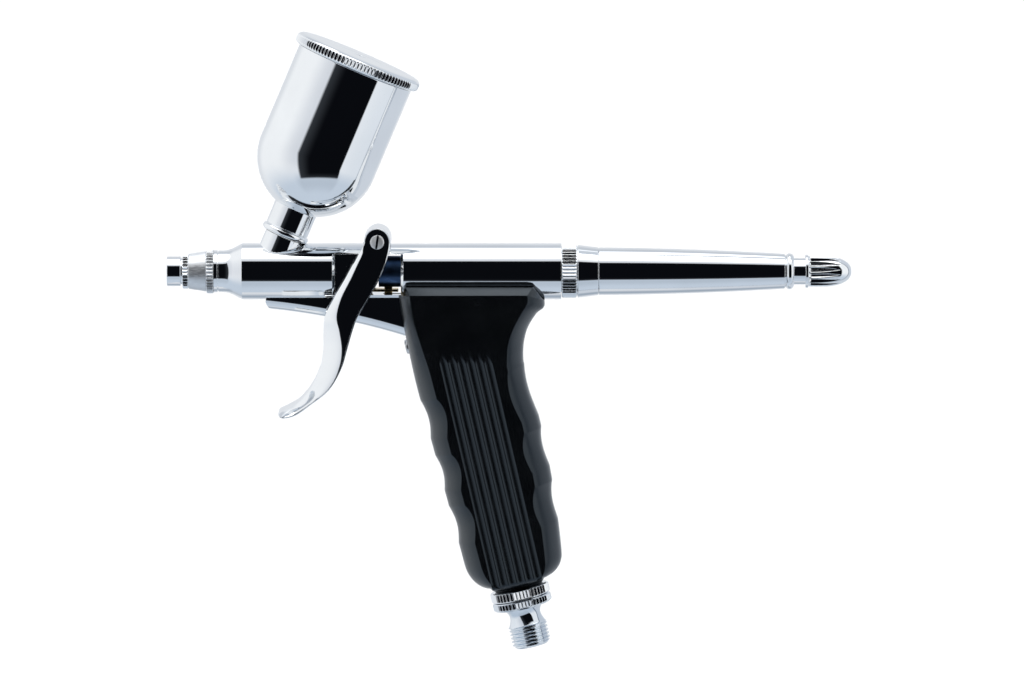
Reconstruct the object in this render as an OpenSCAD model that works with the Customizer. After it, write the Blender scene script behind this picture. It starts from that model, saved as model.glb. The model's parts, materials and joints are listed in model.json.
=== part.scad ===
// Trigger airbrush with a tilted gravity cup and a pistol grip.
// The barrel axis is the X axis, the needle tip points to -X and +Z is up.
// The origin is the centre of the needle cap's front face.

/* [Barrel] */
// Outer radius of the barrel
barrel_r = 7; // [6.8:0.05:7.2]
// Where the barrel tube ends, measured from the needle cap's front face
barrel_end = 98.5; // [98.3:0.05:98.55]
// Bore that guides the drive sleeve
drive_bore_r = 4; // [3.98:0.01:4.1]
// Front wall of the side window
window_start = 42; // [41.8:0.1:42.4]
// Rear wall of the side window
window_end = 58.5; // [58.5:0.1:58.8]
// Height of the window above the barrel axis
window_top = 4.7; // [4.4:0.1:4.8]
// Depth of the window below the barrel axis
window_floor = 5.6; // [5.5:0.05:5.8]
// Chamfer on the window's upright edges
window_edge = 0.6; // [0.3:0.05:0.8]
// Rear end of the wall that parts the window's two pockets
window_wall_end = 50; // [49:0.1:50]
// Thickness of that wall
window_wall_t = 6.6; // [6:0.1:7]

/* [Head] */
// Radius of the needle cap's front spigot
needle_cap_r = 3.7; // [3.5:0.05:3.8]
// Length of that spigot
needle_cap_len = 3.4; // [3.2:0.1:3.5]
// Radius of the nozzle cap's knurled band
cap_band_r = 5.5; // [5.3:0.05:5.7]

/* [Cup] */
// Lean of the cup towards the handle, in degrees
cup_tilt = 23; // [22:0.5:24]
// Where the cup's axis crosses the barrel axis
cup_x = 25.5; // [25:0.1:26]
// Outer radius of the cup
cup_r = 15.05; // [14.8:0.05:15.3]
// Wall of the cup
cup_wall = 0.8; // [0.7:0.05:1]
// Rim of the cup, measured along its axis from the barrel axis
cup_rim = 55.5; // [54:0.5:57]
// Radius of the lid
lid_r = 16.4; // [16:0.1:16.8]
// Thickness of the lid's disc
lid_t = 3.1; // [2.8:0.1:3.6]

/* [Trigger] */
// Pivot of the trigger along the barrel
pivot_x = 52.65; // [52.6:0.05:52.7]
// Height of the pivot above the barrel axis
pivot_z = 8; // [7.9:0.05:8.1]
// Thickness of each trigger arm
arm_t = 1.6; // [1.4:0.1:1.8]
// Radius at which the two arms join below the barrel, measured from the pivot
bridge_r = 24; // [23.6:0.2:25]

/* [Grip] */
// Lean of the grip, in degrees from upright
grip_tilt = 13; // [12.8:0.1:13.2]
// Where the grip's axis crosses the barrel axis
grip_x = 69.55; // [69.4:0.05:69.7]
// Width of the grip across its flat sides
grip_w = 21; // [19:0.5:23]
// Depth of the finger scallops
scallop = 0.65; // [0.4:0.05:0.9]
// Length of one scallop
scallop_pitch = 13.7; // [13:0.1:14.4]
// Number of ribs on each side of the grip
rib_count = 6; // [4:1:7]

/* [Air fitting] */
// Radius over the hose thread's crests, a G1/8 pipe thread
hose_r = 4.864; // [4.85:0.001:4.88]
// Length of the hose thread
hose_len = 4.6; // [4.2:0.1:4.8]
// Radius of the two knurled rings under the grip
ring_r = 7.45; // [7.2:0.05:7.7]

/* [Rear] */
// Radius of the knurled rear sleeve
sleeve_r = 6.6; // [6.4:0.05:6.8]
// Radius where the handle begins
handle_front_r = 5.95; // [5.85:0.05:6.1]
// Radius where the handle ends
handle_back_r = 4.35; // [4.3:0.05:4.5]
// Radius of the adjuster knob
knob_r = 3.8; // [3.6:0.05:3.9]
// Number of flutes round the adjuster knob
flutes = 12; // [8:1:14]

/* [Hidden] */
$fn = 96;
fit = 0.05;             // radial play of threads and seats
run = 0.08;             // radial play of a moving shaft
over = 0.5;             // how far a cutting tool runs past a face

// Stations along the barrel axis
nozzle_tip = 3.6;
cap_cone_start = 5.4;
cap_end = 11.7;
body_start = 11.75;     // front face that the nozzle cap closes on
nose_end = 14.1;        // end of the straight nose, where the flare begins
flare_len = 4.75;
nose_r = 5.2;
flare_r = 5;            // radius of the flare's hollow bend
flare_bend = 28;        // angle it turns through before the flare's cone
packing_x = 30;
needle_r = 0.6;
needle_end = 118;
drive_x = 52.9;         // front face of the drive sleeve
drive_end = 66;         // its shoulder, where the needle spring rests
shank_end = 95;
shank_r = 2.2;
seat_x = 80;            // front face of the spring seat
seat_flange = 90;
sleeve_x = 98.6;        // the rear sleeve meets the barrel
handle_x = 107.85;      // the handle meets the rear sleeve
handle_end = 154.3;
bead_end = 156.6;
knob_x = 159.5;
knob_end = 171;
knob_shank_r = 3.3;
knob_shank_x = 146;
stop_x = 123.2;         // front end of the needle stop
stop_r = 1.2;

// Air valve, on an axis of its own below the barrel
valve_z = -9;
valve_bore_r = 2.2;
stem_r = 0.8;
stem_x = 56.35;
tongue_x = 54.32;
tongue_t = 1.96;
block = [[61, 78], [-4.5, 4.5], [-16, -4]];
passage_r = 0.8;

// Fin: its lower edge follows a long arc
fin_t = 6;
fin_arc = 177;
fin_centre = [7.55, -185.4];
fin_a0 = 5.5;
fin_a1 = 17.6;

// Stations down the grip axis
boss_end = 18;
grip_end = 79.9;
collar_end = 81.6;
lock_end = 84.2;
tube_end = 84;
joint_x = 84.35;
joint_flange = 86.6;
neck_end = 91.2;
tube_r = 5;

// A cylinder or cone along the barrel axis, from station x0 to x1.
module rod(x0, x1, r0, r1 = undef) {
    translate([x0, 0, 0]) rotate([0, 90, 0])
        cylinder(h = x1 - x0, r1 = r0, r2 = is_undef(r1) ? r0 : r1);
}

// The same, parallel to the barrel axis at height z.
module rod_at(z, x0, x1, r0, r1 = undef) {
    translate([0, 0, z]) rod(x0, x1, r0, r1);
}

// A tube along the barrel axis.
module tube(x0, x1, r_out, r_in) {
    difference() {
        rod(x0, x1, r_out);
        rod(x0 - over, x1 + over, r_in);
    }
}

// A box from its low and high corners on each axis.
module box(x, y, z) {
    translate([x[0], y[0], z[0]])
        cube([x[1] - x[0], y[1] - y[0], z[1] - z[0]]);
}

// Children stand on the barrel axis and rise along the cup's axis.
module on_cup_axis() {
    translate([cup_x, 0, 0]) rotate([0, cup_tilt, 0]) children();
}

// Children hang from the barrel axis and run down the grip's axis as -Z.
module on_grip_axis() {
    translate([grip_x, 0, 0]) rotate([0, -grip_tilt, 0]) children();
}

// A cylinder or cone down the grip's axis, from station s0 to s1.
module drop(s0, s1, r0, r1 = undef) {
    on_grip_axis() translate([0, 0, -s1])
        cylinder(h = s1 - s0, r1 = is_undef(r1) ? r0 : r1, r2 = r0);
}

// A pin across the barrel through the trigger's pivot.
module pivot_pin(y0, y1, r) {
    translate([pivot_x, y1, pivot_z]) rotate([90, 0, 0]) cylinder(h = y1 - y0, r = r);
}

// A ring of round wire about the barrel axis.
module o_ring(x, r_mid, r_wire) {
    translate([x, 0, 0]) rotate([0, 90, 0])
        rotate_extrude() translate([r_mid, 0]) circle(r = r_wire, $fn = 24);
}

// A compression spring about an axis parallel to the barrel.
spring_steps = 12;
wire_sides = 6;
function coil_point(i, k, x0, x1, r, wire, turns) =
    let (a = 360 * i / spring_steps,
         b = 360 * k / wire_sides,
         q = r + wire * cos(b),
         x = x0 + wire + (x1 - x0 - 2 * wire) * i / (turns * spring_steps) + wire * sin(b) * 0.98)
    [x, q * cos(a), q * sin(a)];

module coil_spring(x0, x1, r, wire, turns, z = 0) {
    last = turns * spring_steps;
    points = [for (i = [0:last]) for (k = [0:wire_sides - 1]) coil_point(i, k, x0, x1, r, wire, turns)];
    sides = [
        for (i = [0:last - 1]) for (k = [0:wire_sides - 1])
            let (a = i * wire_sides + k,
                 b = i * wire_sides + (k + 1) % wire_sides)
            each [[a, b, b + wire_sides], [a, b + wire_sides, a + wire_sides]]
    ];
    front_cap = [for (k = [wire_sides - 1:-1:0]) k];
    back_cap = [for (k = [0:wire_sides - 1]) last * wire_sides + k];
    translate([0, 0, z]) polyhedron(points, concat(sides, [front_cap, back_cap]));
}

// ---- Barrel and what is drilled in it ----

// The flared nose: a hollow bend that runs out into a cone.
module flare() {
    end = nose_end + flare_len;
    bend_end = [nose_r + flare_r * (1 - cos(flare_bend)), nose_end + flare_r * sin(flare_bend)];
    rotate([0, 90, 0]) rotate_extrude() difference() {
        polygon([[0, nose_end], [nose_r, nose_end], bend_end, [barrel_r, end], [0, end]]);
        translate([nose_r + flare_r, nose_end]) circle(r = flare_r);
    }
}

// Air passage fin, with a full round along its curved lower edge and a round nose.
module fin() {
    mid = fin_arc + fin_t / 2;
    tip = [29.3, -6.2];
    tip_r = 4.8;
    intersection() {
        translate([fin_centre[0], 0, fin_centre[1]]) rotate([90, 0, 0])
            rotate([0, 0, 90 - fin_a1]) rotate_extrude(angle = fin_a1 - fin_a0) {
                translate([mid, 0]) circle(d = fin_t);
                translate([mid, -fin_t / 2]) square([10, fin_t]);
            }
        union() {
            translate([tip[0], 0, tip[1]]) rotate([90, 0, 0])
                cylinder(h = 2 * fin_t, r = tip_r, center = true);
            box([tip[0], 70], [-fin_t, fin_t], [-25, 5]);
        }
    }
}

// Everything that is cut out of the barrel along its own axis.
module barrel_bores() {
    rod(body_start - 4, body_start, 3);
    rod(body_start - over, 15.8, 1.75);
    rod(15, packing_x + over, 1.3);
    rod(packing_x, 33.5, 1.95);
    rod(33, window_wall_end + over, 2.45);
    rod(window_wall_end, barrel_end + over, drive_bore_r);
    rod(seat_flange, barrel_end + over, 5.2);
}

// Cup socket and the paint channel down to the needle.
module paint_channel() {
    on_cup_axis() {
        translate([0, 0, 4.4]) cylinder(h = 6, r = 3.45);
        cylinder(h = 5, r = 1.2);
    }
}

// Window: a pocket on each side, open to each other behind the wall, with the slots that the
// push bar and its tongue travel in.
module window_cuts() {
    height = [-window_floor, window_top];
    box([window_start, window_end], [-9, -window_wall_t / 2], height);
    box([window_start, window_end], [window_wall_t / 2, 9], height);
    box([window_wall_end, window_end], [-9, 9], height);
    box([window_end - over, 61], [-2.6, 2.6], [-5.15, -3]);
    box([tongue_x - 0.3, 59.2], [-1.2, 1.2], [-10.6, -5]);
}

// Chamfer that follows the barrel's skin along one upright edge of the window.
// side is 1 where the metal lies in front of the edge and -1 where it lies behind.
module window_chamfer(edge, side) {
    a = min(edge, edge - side * window_edge);
    b = max(edge, edge - side * window_edge);
    intersection() {
        box([a, b], [-9, 9], [-window_floor, window_top]);
        difference() {
            rod(a - over, b + over, barrel_r + 1);
            rod(a, b, barrel_r - (side < 0 ? window_edge : 0), barrel_r - (side > 0 ? window_edge : 0));
        }
    }
}

// Valve chamber in the block, the air feed from the grip and the passages to the head.
module air_cuts() {
    rod_at(valve_z, 59 - over, 61, stem_r + run);
    rod_at(valve_z, 60.2, block[0][1] + over, valve_bore_r);
    drop(12.6, boss_end + over, 3.45);
    drop(8.5, 13, 1.4);
    translate([62, 0, -15]) cylinder(h = 6, r = 0.6);
    // from the valve up along the fin, falling 0.3 mm for each mm of length
    translate([62, 0, -15]) rotate([0, -90 + atan(0.3), 0]) cylinder(h = 40, r = passage_r);
    rod_at(-3.4, body_start - 4, 26, 0.6);
}

module main_body() {
    color("silver") difference() {
        union() {
            rod(8.8, body_start + over, 4.2);
            rod(body_start, 12.6, 5.25);
            rod(12.5, 13, 4.95);
            rod(12.9, nose_end, nose_r);
            flare();
            rod(nose_end + flare_len, barrel_end, barrel_r);
            on_cup_axis() cylinder(h = 9.55, r = 4.8);
            translate([pivot_x, 0, pivot_z]) rotate([90, 0, 0])
                cylinder(h = 14.4, r = 3.3, center = true);
            fin();
            box(block[0], block[1], block[2]);
            drop(8, boss_end, 5.5);
        }
        barrel_bores();
        paint_channel();
        window_cuts();
        window_chamfer(window_start, 1);
        window_chamfer(window_end, -1);
        air_cuts();
        pivot_pin(-9, 9, 1.2 + fit);
        // flat on top of the barrel behind the pivot
        box([pivot_x + 3, 67.8], [-3, 3], [6.85, 7.5]);
        // tapped hole for the grip's screw
        on_grip_axis() translate([-6, 0, -16]) rotate([0, 90, 0]) cylinder(h = 2.2, r = 1.05);
    }
}

// ---- Head ----

module needle_cap() {
    color("silver") difference() {
        union() {
            rod(0, needle_cap_len, needle_cap_r);
            rod(needle_cap_len, 3.9, needle_cap_r - 0.45);
            rod(3.9, 4.1, 4.15, 4.35);
            rod(4.1, 5.15, 4.35);
            rod(5.15, cap_cone_start - 0.02, 4.35, 4.15);
        }
        rod(-over, cap_cone_start + over, 2.4);
    }
}

module nozzle_cap() {
    color("silver") difference() {
        union() {
            rod(2.6, cap_cone_start + over, 2.35);
            rod(cap_cone_start, 9.7, 4.35, 5);
            rod(9.7, 9.85, 4.9);
            rod(9.85, cap_end, cap_band_r);
        }
        rod(2, 4, 0.75);
        rod(3.4, 8.75, 0.95, 3);
        rod(8.7, cap_end + over, 4.2 + fit);
    }
}

module fluid_nozzle() {
    color("gold") difference() {
        union() {
            rod(nozzle_tip, 10.2, 0.5, 2.2);
            rod(10.2, 11.45, 2.8);
            rod(11.4, 15.5, 1.7);
        }
        rod(nozzle_tip - 0.01, 10, 0.22, 0.9);
        rod(9.9, 16, 0.9);
    }
}

module nozzle_seal() {
    color("white") tube(11.47, 11.73, 2.6, 1.75);
}

module needle_packing() {
    color("white") tube(packing_x + 0.05, 32.95, 1.93, needle_r + 0.03);
}

module packing_screw() {
    color("gold") difference() {
        tube(33, 41, 2.4, needle_r + 0.1);
        // screwdriver slot
        box([40.2, 41 + over], [-0.35, 0.35], [-3, 3]);
    }
}

// ---- Cup ----

module cup_seal() {
    color("white") on_cup_axis() translate([0, 0, 9.57]) difference() {
        cylinder(h = 0.16, r = 4.7);
        translate([0, 0, -over]) cylinder(h = 2, r = 3.5);
    }
}

// Outer shape of the cup, or the hollow inside it when shrunk by the wall.
module cup_form(wall, top) {
    round_z = 31.2;
    translate([0, 0, round_z]) {
        sphere(r = cup_r - wall);
        cylinder(h = top - round_z, r = cup_r - wall);
    }
}

module cup() {
    bead_z = 9.75;
    color("silver") on_cup_axis() difference() {
        union() {
            cup_form(0, cup_rim);
            translate([0, 0, 4.8]) cylinder(h = 6, r = 3.4);
            // rolled bead on top of the spigot
            translate([0, 0, bead_z + 0.85]) rotate_extrude() {
                translate([5.15, 0]) circle(r = 0.85, $fn = 32);
                translate([0, -0.85]) square([5.15, 1.7]);
            }
            translate([0, 0, bead_z + 1]) cylinder(h = 10, r = 5.5);
        }
        cup_form(cup_wall, cup_rim + over);
        translate([0, 0, 4]) cylinder(h = 16, r = 2.4);
    }
}

module cup_lid() {
    base = cup_rim + 0.1;
    color("whitesmoke") on_cup_axis() difference() {
        union() {
            translate([0, 0, base]) cylinder(h = 0.6, r1 = lid_r - 0.6, r2 = lid_r);
            translate([0, 0, base + 0.6]) cylinder(h = 1.6, r = lid_r);
            translate([0, 0, base + 2.2]) cylinder(h = lid_t - 2.2, r1 = lid_r, r2 = lid_r - 0.9);
            // plug that sits inside the rim
            translate([0, 0, base - 3]) cylinder(h = 3.1, r = cup_r - cup_wall - run);
        }
        translate([0, 0, base - 3 - over]) cylinder(h = 3.2, r = cup_r - cup_wall - 1.2);
        // air vent
        cylinder(h = 80, r = 0.75);
    }
}

// ---- Trigger ----

// Side view of the lever, from the ear at the pivot down to the finger hook.
lever_front = [
    [49.4, 8.6], [48.3, 5.6], [44.6, -1.2], [41.9, -5.9], [39.6, -10.6],
    [39.2, -14.5], [39.1, -19], [38.4, -23.3], [36.2, -28.3], [33.2, -32], [28.4, -34.7]
];
lever_back = [
    [28.3, -35.5], [30.9, -36.3], [34.2, -34], [37.6, -31.6], [40.3, -29.3], [43.3, -24.6],
    [44.9, -19.9], [46.6, -13.9], [47.9, -10.6], [52.3, -3.2], [54.7, 2.1], [55.9, 7]
];

module lever_2d() {
    translate([pivot_x, pivot_z]) circle(r = 3.3);
    polygon(concat(lever_front, lever_back));
}

// Front wall that joins the arms, where it is far enough from the pivot to swing past the fin.
module bridge_2d() {
    wall = 2.2;
    difference() {
        lever_2d();
        translate([wall, 0]) lever_2d();
        translate([pivot_x, pivot_z]) circle(r = bridge_r);
    }
}

module trigger() {
    inner = 7.3;
    color("silver") difference() {
        union() {
            for (side = [-1, 1])
                translate([0, side * (inner + arm_t / 2), 0]) rotate([90, 0, 0])
                    linear_extrude(height = arm_t, center = true) lever_2d();
            rotate([90, 0, 0]) linear_extrude(height = 2 * inner + 0.2, center = true) bridge_2d();
            // bosses that press on the drive sleeve
            for (side = [-1, 1])
                translate([51.65, side * (1.2 + inner + 0.1) / 2, 0]) rotate([90, 0, 0])
                    cylinder(h = inner - 1.1, r = 1.2, center = true);
        }
        pivot_pin(-10, 10, 1.2 + run);
    }
}

module pivot_screw() {
    color("silver") difference() {
        union() {
            pivot_pin(-9.7, -8.95, 1.75);
            pivot_pin(-9, 9.9, 1.2);
        }
        translate([pivot_x, -9.6, pivot_z]) rotate([0, 8, 0])
            cube([0.45, 0.5, 5], center = true);
    }
}

module pivot_nut() {
    color("silver") difference() {
        pivot_pin(8.95, 9.7, 2.2);
        pivot_pin(8, 11, 1.2 + fit);
    }
}

// ---- Needle and its drive ----

module fluid_needle() {
    color("gainsboro") {
        rod(2.8, 17.8, 0.1, needle_r);
        rod(17.7, needle_end, needle_r);
    }
}

module drive_sleeve() {
    color("dimgray") difference() {
        union() {
            rod(drive_x, drive_end, drive_bore_r - 0.1);
            rod(drive_end - over, shank_end, shank_r);
        }
        rod(drive_x - over, shank_end + over, needle_r + fit);
        // notch that holds the push bar
        box([tongue_x - 0.02, tongue_x + tongue_t + 0.02], [-1, 1], [-4, -3.2]);
        // collet slits
        for (a = [0, 90])
            rotate([a, 0, 0]) box([89, shank_end + over], [-0.2, 0.2], [-3, 3]);
    }
}

module air_push_bar() {
    color("goldenrod") {
        box([50.2, 57.8], [-2.4, 2.4], [-4.95, -4.3]);
        box([tongue_x, tongue_x + tongue_t], [-0.98, 0.98], [-10.3, -3.22]);
    }
}

module chuck_nut() {
    color("silver") difference() {
        union() {
            rod(92, 98.2, 3.4);
            rod(98.2, 99, 3.4, 2.6);
        }
        rod(92 - over, shank_end + 0.1, shank_r + fit);
        rod(92, 100, needle_r + fit);
    }
}

module needle_spring() {
    color("gray") coil_spring(drive_end + 0.02, seat_x - 0.02, 3.05, 0.35, 8);
}

module spring_seat() {
    color("silver") difference() {
        union() {
            rod(seat_x, seat_flange + over, drive_bore_r - fit);
            rod(seat_flange + 0.02, 91, 5.2 - fit);
        }
        rod(seat_x - over, 91 + over, shank_r + run);
    }
}

// ---- Rear ----

module rear_sleeve() {
    color("silver") difference() {
        union() {
            rod(91.05, sleeve_x + over, 5.2 - fit);
            rod(sleeve_x, 102.4, sleeve_r);
            rod(102.4, 102.6, sleeve_r - 0.25);
            rod(102.6, handle_x - 0.05, sleeve_r, handle_front_r);
        }
        rod(90, 110, 4);
        rod(101.5, 110, 4.95);
    }
}

module handle() {
    bore_r = knob_shank_r + run;
    // the taper steepens towards the end in equal steps
    steps = 6;
    dx = (handle_end - handle_x) / steps;
    function taper(i) = handle_front_r - (handle_front_r - handle_back_r)
        * (0.25 * i / steps + 0.75 * pow(i / steps, 2));
    color("silver") difference() {
        union() {
            rod(101.6, handle_x + over, 4.9);
            rotate([0, 90, 0]) rotate_extrude() polygon(concat(
                [[0, handle_x]],
                [for (i = [0:steps]) [taper(i), handle_x + i * dx]],
                [[4.15, handle_end], [4.15, 154.5], [4.5, 154.5], [4.5, bead_end], [0, bead_end]]));
        }
        rod(100, 126, 4);
        rod(125, bead_end + over, bore_r);
    }
}

module adjuster_knob() {
    dome_x = knob_end - knob_r;
    color("silver") difference() {
        union() {
            rod(knob_shank_x, knob_x + over, knob_shank_r);
            rod(knob_x, 160.2, 4.15);
            rod(160, dome_x, knob_r);
            translate([dome_x, 0, 0]) sphere(r = knob_r);
        }
        rod(knob_shank_x - over, 158, stop_r + run);
        // groove for the O-ring
        difference() {
            rod(148.45, 149.55, 4);
            rod(148, 150, 2.35);
        }
        for (i = [0:flutes - 1])
            rotate([360 * i / flutes, 0, 0]) translate([0, 0, knob_r + 0.25]) {
                rod(160.8, 166.6, 0.65);
                rod(166.6, 169.5, 0.65, 0.1);
            }
    }
}

module adjuster_o_ring() {
    color("black") o_ring(149, 2.85, 0.48);
}

module needle_stop() {
    color("gainsboro") rod(stop_x, 157.9, stop_r);
}

// ---- Air valve ----

module valve_packing() {
    color("white") translate([0, 0, valve_z]) tube(60.22, 61.4, valve_bore_r - fit, stem_r + run);
}

module valve_seat() {
    color("gold") translate([0, 0, valve_z]) tube(62.6, 64.5, valve_bore_r - fit, 1.3);
}

module valve_seal() {
    color("black") translate([0, 0, valve_z]) tube(64.55, 65.15, 1.75, stem_r + 0.02);
}

module valve_stem() {
    color("gold") {
        rod_at(valve_z, stem_x, 65.3, stem_r);
        rod_at(valve_z, 65.2, 66.2, 1.8);
    }
}

module valve_spring() {
    color("gray") coil_spring(66.25, 73.9, 1.5, 0.25, 6, valve_z);
}

module valve_plug() {
    color("gold") difference() {
        rod_at(valve_z, 74, 77.6, valve_bore_r - fit);
        box([76.8, 78.5], [-0.35, 0.35], [valve_z - 3, valve_z + 3]);
    }
}

// ---- Grip and the parts that hang below it ----

// Half-depth of the grip's front and rear edges at station s, with the finger scallops.
function front_t(s) = -13.7 + 0.034 * (s - 20) + scallop * abs(sin(180 * (s - 26) / scallop_pitch));
function rear_t(s) = 14.65 - 0.0022 * pow(s - 44, 2) - scallop * abs(sin(180 * (s - 27) / scallop_pitch));

module grip_2d() {
    // local x is across the grip axis, local y runs up it
    front = [for (s = [22:2.5:72]) [front_t(s), -s]];
    rear = [for (s = [74.5:-2.5:27]) [rear_t(s), -s]];
    top = [
        [14.4, -24], [15.4, -21], [17.1, -18], [19.9, -15.2], [22.1, -14.1], [22.6, -12.3],
        [20.6, -7.9], [-11.9, -0.4], [-12.5, -2.8], [-13.3, -10.8]
    ];
    bottom = [
        [-11.4, -75.1], [-10.4, -77.1], [-8.6, -78.6], [-5, -79.6], [-1, -grip_end], [4, -79.6],
        [8, -78.9], [10.6, -77.6], [12, -76]
    ];
    polygon(concat(front, bottom, rear, top));
}

// The grip's outer shape: a straight core and two bevelled cheeks.
module grip_form() {
    core = 5.2;
    middle = [1.2, -41];
    on_grip_axis() rotate([90, 0, 0]) {
        linear_extrude(height = 2 * core, center = true) grip_2d();
        for (side = [0, 1])
            mirror([0, 0, side]) translate([middle[0], middle[1], core])
                linear_extrude(height = grip_w / 2 - core, scale = [0.72, 0.93], slices = 1)
                    translate(-middle) grip_2d();
    }
}

// Grooves that leave the ribs, cut in both sides and parallel to the grip's axis.
module rib_grooves() {
    spacing = 2.2;
    groove = 1.3;
    on_grip_axis() for (side = [-1, 1]) for (i = [0:rib_count - 1])
        translate([(i - (rib_count - 1) / 2) * spacing + 0.3, side * grip_w / 2, -49.5])
            rotate([0, 0, 45]) cube([groove, groove, 55], center = true);
}

module grip() {
    gap = 0.2;
    color([0.1, 0.1, 0.11]) difference() {
        grip_form();
        rod(50, 100, barrel_r + gap);
        box([50, 62], [-fin_t / 2 - gap, fin_t / 2 + gap], [-17.4, 0]);
        box([block[0][0] - gap, block[0][1] + gap], [-4.7, 4.7], [-16 - gap, 0]);
        drop(4, boss_end + gap, 5.5 + gap);
        drop(boss_end, grip_end + over, tube_r + gap / 2);
        rib_grooves();
        // hole and counterbore for the grip's screw
        on_grip_axis() translate([-16, 0, -16]) rotate([0, 90, 0]) {
            cylinder(h = 12, r = 1.1);
            cylinder(h = 3.7, r = 1.65);
        }
    }
}

module grip_screw() {
    color("gray") on_grip_axis() translate([-14.05, 0, -16]) rotate([0, 90, 0]) difference() {
        union() {
            cylinder(h = 1.7, r = 1.6);
            cylinder(h = 10, r = 1);
        }
        translate([0, 0, 0.2]) cube([0.4, 4, 0.8], center = true);
    }
}

module air_tube() {
    color("silver") difference() {
        union() {
            drop(13, boss_end + 0.2, 3.4);
            drop(boss_end + 0.02, tube_end, tube_r);
        }
        drop(12, tube_end + over, 2);
        drop(76, tube_end + over, 3.45);
    }
}

module grip_collar() {
    color([0.1, 0.1, 0.11]) difference() {
        drop(grip_end + 0.02, collar_end, 7.2, 6);
        drop(grip_end - over, collar_end + over, tube_r + 0.1);
    }
}

module grip_lock_ring() {
    color("silver") difference() {
        union() {
            drop(collar_end + 0.02, collar_end + 0.3, ring_r - 0.3, ring_r);
            drop(collar_end + 0.3, lock_end - 0.3, ring_r);
            drop(lock_end - 0.3, lock_end, ring_r, ring_r - 0.3);
        }
        drop(collar_end - over, lock_end + over, tube_r + fit);
    }
}

module hose_washer() {
    color("white") difference() {
        drop(tube_end + 0.02, joint_x - 0.02, 4.9);
        drop(tube_end - over, joint_x + over, 3.5);
    }
}

module hose_joint() {
    chamfer_end = 96.7;
    color("silver") difference() {
        union() {
            drop(77, joint_x + over, 3.4);
            drop(joint_x, 86, ring_r - 0.05);
            drop(86, joint_flange, ring_r - 0.05, ring_r - 0.7);
            drop(joint_flange, 87.4, 5, 3.9);
            drop(87.4, 89, 3.9);
            drop(89, neck_end, 3.9, 4.75);
            drop(neck_end, neck_end + hose_len, hose_r);
            drop(neck_end + hose_len, chamfer_end, hose_r, 3.9);
        }
        drop(76, chamfer_end + over, 2);
    }
}

main_body();
needle_cap();
nozzle_cap();
fluid_nozzle();
nozzle_seal();
needle_packing();
packing_screw();
cup_seal();
cup();
cup_lid();
trigger();
pivot_screw();
pivot_nut();
fluid_needle();
drive_sleeve();
air_push_bar();
chuck_nut();
needle_spring();
spring_seat();
rear_sleeve();
handle();
adjuster_knob();
adjuster_o_ring();
needle_stop();
valve_packing();
valve_seat();
valve_seal();
valve_stem();
valve_spring();
valve_plug();
grip();
grip_screw();
air_tube();
grip_collar();
grip_lock_ring();
hose_washer();
hose_joint();
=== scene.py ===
import json
import math

import bmesh
import bpy
from mathutils import Matrix, Vector

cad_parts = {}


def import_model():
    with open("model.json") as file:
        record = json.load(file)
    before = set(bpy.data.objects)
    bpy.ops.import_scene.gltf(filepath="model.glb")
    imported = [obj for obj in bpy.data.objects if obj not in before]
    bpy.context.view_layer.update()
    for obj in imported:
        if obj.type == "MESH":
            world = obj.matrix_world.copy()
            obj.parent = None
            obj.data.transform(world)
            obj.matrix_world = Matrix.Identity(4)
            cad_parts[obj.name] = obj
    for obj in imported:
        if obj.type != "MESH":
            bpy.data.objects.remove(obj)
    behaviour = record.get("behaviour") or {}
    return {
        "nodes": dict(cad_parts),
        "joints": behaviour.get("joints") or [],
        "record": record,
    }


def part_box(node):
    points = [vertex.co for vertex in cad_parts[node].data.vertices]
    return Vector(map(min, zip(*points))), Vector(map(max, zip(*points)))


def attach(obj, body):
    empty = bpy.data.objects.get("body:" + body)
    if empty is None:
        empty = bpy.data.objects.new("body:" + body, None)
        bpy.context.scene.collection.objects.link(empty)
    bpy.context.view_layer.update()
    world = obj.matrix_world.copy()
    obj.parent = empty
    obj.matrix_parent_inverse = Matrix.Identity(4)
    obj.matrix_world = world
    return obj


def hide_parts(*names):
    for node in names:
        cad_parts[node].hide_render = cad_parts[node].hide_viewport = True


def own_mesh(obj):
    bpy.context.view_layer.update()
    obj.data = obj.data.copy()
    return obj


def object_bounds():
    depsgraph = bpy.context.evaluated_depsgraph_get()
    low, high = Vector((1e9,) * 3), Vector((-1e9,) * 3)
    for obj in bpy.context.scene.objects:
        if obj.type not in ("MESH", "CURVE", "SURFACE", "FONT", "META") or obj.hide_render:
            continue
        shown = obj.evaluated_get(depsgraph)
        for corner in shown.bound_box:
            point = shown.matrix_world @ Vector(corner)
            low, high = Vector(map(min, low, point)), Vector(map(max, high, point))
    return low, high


# Looks of a trigger airbrush: chromed metal, a black moulded grip and the small brass, steel
# and plastic pieces of its mechanism. Lengths in this script are millimetres unless a name
# says otherwise; meshes are scaled to metres when they are made.

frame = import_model()
cad_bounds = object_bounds()
MM = 0.001


# ---- Lines and places taken from the frame ----

def joint(name):
    return next(j for j in frame["joints"] if j["name"] == name)


def mount(name):
    return next(m for m in frame["record"]["mounts"] if m["name"] == name)


def line(point, direction):
    """Matrix whose Z axis runs along direction, with its origin where the line meets z = 0."""
    along = Vector(direction).normalized()
    start = Vector(point)
    if abs(along.z) > 1e-6:
        start = start - along * (start.z / along.z)
    across = Vector((0, 1, 0)) if abs(along.y) < 0.9 else Vector((1, 0, 0))
    matrix = Matrix((across.cross(along), across, along)).transposed().to_4x4()
    matrix.translation = start
    return matrix


def centre(node):
    low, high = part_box(node)
    return (low + high) / 2


def reach(node, along):
    """First and last station of a CAD node along a line, and its largest radius."""
    back = along.inverted()
    points = [back @ v.co for v in frame["nodes"][node].data.vertices]
    stations = [p.z / MM for p in points]
    radius = max(math.hypot(p.x, p.y) for p in points) / MM
    return min(stations), max(stations), radius


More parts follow.
